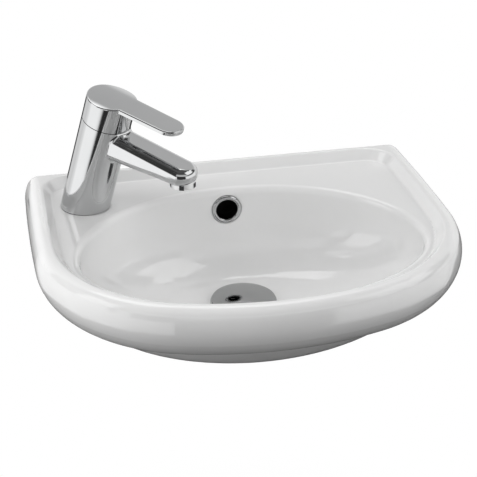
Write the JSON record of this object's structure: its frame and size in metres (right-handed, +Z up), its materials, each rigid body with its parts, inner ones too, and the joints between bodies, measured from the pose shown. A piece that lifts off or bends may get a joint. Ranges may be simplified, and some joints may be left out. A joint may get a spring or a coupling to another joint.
{
  "type": "wall-hung washbasin with mixer tap",
  "caption": "Small D-shaped ceramic wall basin with rolled rim, sunken deck, overflow ring, push-to-open waste and a leaning chrome lever mixer set in the corner.",
  "frame": {"origin": "on the wall face, midway between the two wall-fixing holes", "axes": "+X to the right as seen from the front, +Y into the wall, +Z up"},
  "size_m": [0.4, 0.311, 0.261],
  "materials": {
    "ceramic": "glossy white glaze",
    "chrome": "mirror-polished plating",
    "brass": "plain machined",
    "steel": "plain zinc-grey",
    "seal": "matt black",
    "white_plastic": "moulded, satin",
    "grey_plastic": "moulded, satin",
    "disc_ceramic": "lapped flat",
    "trim_plastic": "bright, silvered"
  },
  "bodies": {
    "basin": {"basin_body": "ceramic", "overflow_ring": "chrome", "waste_body": "chrome", "waste_top_seal": "seal", "waste_bottom_seal": "seal", "waste_backnut": "brass", "waste_mechanism": "brass", "tap_body": "chrome", "tap_base_seal": "seal", "aerator_housing": "chrome", "aerator_insert": "grey_plastic", "aerator_seal": "seal", "fixing_stud": "steel", "horseshoe_gasket": "seal", "horseshoe_washer": "steel", "fixing_nut": "steel", "cartridge_base": "grey_plastic", "cartridge_inlet_seals": "seal", "cartridge_fixed_disc": "disc_ceramic", "cartridge_housing": "white_plastic", "cartridge_nut": "brass", "cartridge_shroud": "chrome"},
    "turn_head": {"cartridge_rotor": "grey_plastic", "cartridge_pivot_pin": "steel"},
    "lever": {"lever_handle": "chrome", "lever_grub_screw": "steel", "index_button": "trim_plastic", "cartridge_spindle": "steel"},
    "disc_slider": {"cartridge_carrier": "white_plastic", "cartridge_moving_disc": "disc_ceramic"},
    "waste_plug": {"waste_cap": "chrome", "waste_cap_seal": "seal", "waste_plunger": "brass"}
  },
  "joints": [
    {"name": "lever_turn", "type": "hinge", "parent": "basin", "child": "turn_head", "pos_m": [-0.1225, -0.0751, 0.13097], "axis": [0.2126, -0.2126, 0.9537], "range_deg": [-45, 45]},
    {"name": "lever_lift", "type": "hinge", "parent": "turn_head", "child": "lever", "pos_m": [-0.1225, -0.0751, 0.13097], "axis": [-0.7071, -0.7071, 0], "range_deg": [0, 20]},
    {"name": "disc_slide", "type": "slide", "parent": "turn_head", "child": "disc_slider", "axis": [0.6744, -0.6744, -0.3007], "range_m": [0, 0.00318]},
    {"name": "waste_plug_rise", "type": "slide", "parent": "basin", "child": "waste_plug", "axis": [0, 0, 1], "range_m": [0, 0.008]}
  ],
  "couplings": [
    {"joint": "disc_slide", "follows": "lever_lift", "m_per_rad": 0.008818}
  ]
}
